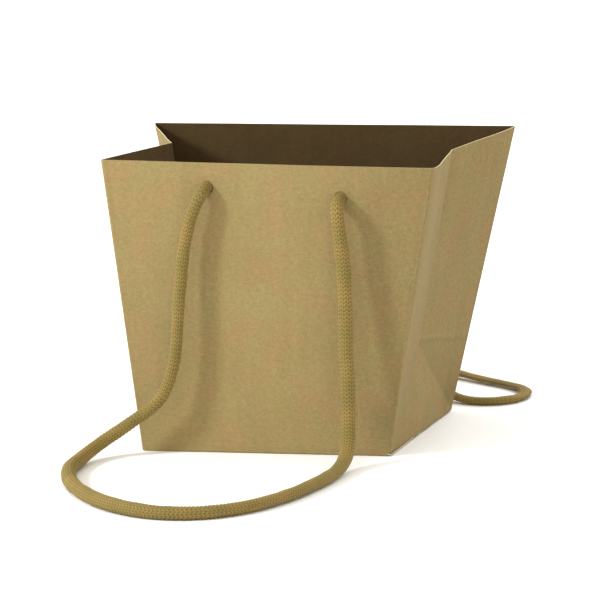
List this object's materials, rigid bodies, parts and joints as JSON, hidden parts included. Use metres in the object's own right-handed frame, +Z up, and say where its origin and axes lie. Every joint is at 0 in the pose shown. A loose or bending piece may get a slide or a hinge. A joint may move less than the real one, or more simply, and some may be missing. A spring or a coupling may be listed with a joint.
{
  "type": "gift bag",
  "caption": "Small open kraft paper gift bag with a flat folded bottom, creased side gussets and knotted cord handles lying in loops.",
  "frame": {"origin": "middle of the bottom's underside, on the floor plane", "axes": "+Z up through the open mouth, -Y towards the front wall, +X to the right seen from the front"},
  "size_m": [0.1894, 0.3876, 0.143],
  "materials": {
    "kraft_paper": "matte",
    "kraft_paper_inside": "matte",
    "knitted_cord": "matte"
  },
  "bodies": {
    "bottom": {"bottom_front_flap": "kraft_paper", "bottom_back_flap": "kraft_paper_inside", "bottom_right_flap": "kraft_paper_inside", "bottom_left_flap": "kraft_paper_inside"},
    "front_wall": {"front_wall": "kraft_paper", "seam_tab": "kraft_paper_inside", "front_left_knot": "knitted_cord", "front_right_knot": "knitted_cord", "front_handle": "knitted_cord"},
    "back_wall": {"back_wall": "kraft_paper", "back_left_knot": "knitted_cord", "back_right_knot": "knitted_cord", "back_handle": "knitted_cord"},
    "right_front_gusset": {"right_front_gusset": "kraft_paper"},
    "right_back_gusset": {"right_back_gusset": "kraft_paper"},
    "left_front_gusset": {"left_front_gusset": "kraft_paper"},
    "left_back_gusset": {"left_back_gusset": "kraft_paper"},
    "right_foot": {"right_gusset_foot": "kraft_paper"},
    "left_foot": {"left_gusset_foot": "kraft_paper"}
  },
  "joints": [
    {"name": "front_wall_lean", "type": "hinge", "parent": "bottom", "child": "front_wall", "pos_m": [0, -0.056, 0], "axis": [-1, 0, 0], "range_deg": [0, 5]},
    {"name": "back_wall_lean", "type": "hinge", "parent": "bottom", "child": "back_wall", "pos_m": [0, 0.056, 0], "axis": [1, 0, 0], "range_deg": [0, 5.05]},
    {"name": "right_front_fold", "type": "hinge", "parent": "front_wall", "child": "right_front_gusset", "pos_m": [0.064, -0.056, 0], "axis": [0.1587, 0.0414, 0.9865], "range_deg": [0, 28.8]},
    {"name": "right_back_fold", "type": "hinge", "parent": "back_wall", "child": "right_back_gusset", "pos_m": [0.064, 0.056, 0], "axis": [-0.1982, -0.0752, -0.9773], "range_deg": [0, 30.2]},
    {"name": "left_front_fold", "type": "hinge", "parent": "front_wall", "child": "left_front_gusset", "pos_m": [-0.064, -0.056, 0], "axis": [0.1587, -0.0414, -0.9865], "range_deg": [0, 21.4]},
    {"name": "left_back_fold", "type": "hinge", "parent": "back_wall", "child": "left_back_gusset", "pos_m": [-0.064, 0.056, 0], "axis": [-0.1982, 0.0752, 0.9773], "range_deg": [0, 22.8]},
    {"name": "right_foot_fold", "type": "hinge", "parent": "bottom", "child": "right_foot", "pos_m": [0.064, 0, 0], "axis": [0, -1, 0], "range_deg": [0, 17.6]},
    {"name": "left_foot_fold", "type": "hinge", "parent": "bottom", "child": "left_foot", "pos_m": [-0.064, 0, 0], "axis": [0, 1, 0], "range_deg": [0, 13.3]}
  ],
  "couplings": [
    {"joint": "back_wall_lean", "follows": "front_wall_lean", "ratio": 1},
    {"joint": "right_front_fold", "follows": "front_wall_lean", "ratio": 5.712},
    {"joint": "right_back_fold", "follows": "front_wall_lean", "ratio": 5.988},
    {"joint": "left_front_fold", "follows": "front_wall_lean", "ratio": 4.225},
    {"joint": "left_back_fold", "follows": "front_wall_lean", "ratio": 4.508},
    {"joint": "right_foot_fold", "follows": "front_wall_lean", "ratio": 3.48},
    {"joint": "left_foot_fold", "follows": "front_wall_lean", "ratio": 2.62}
  ]
}
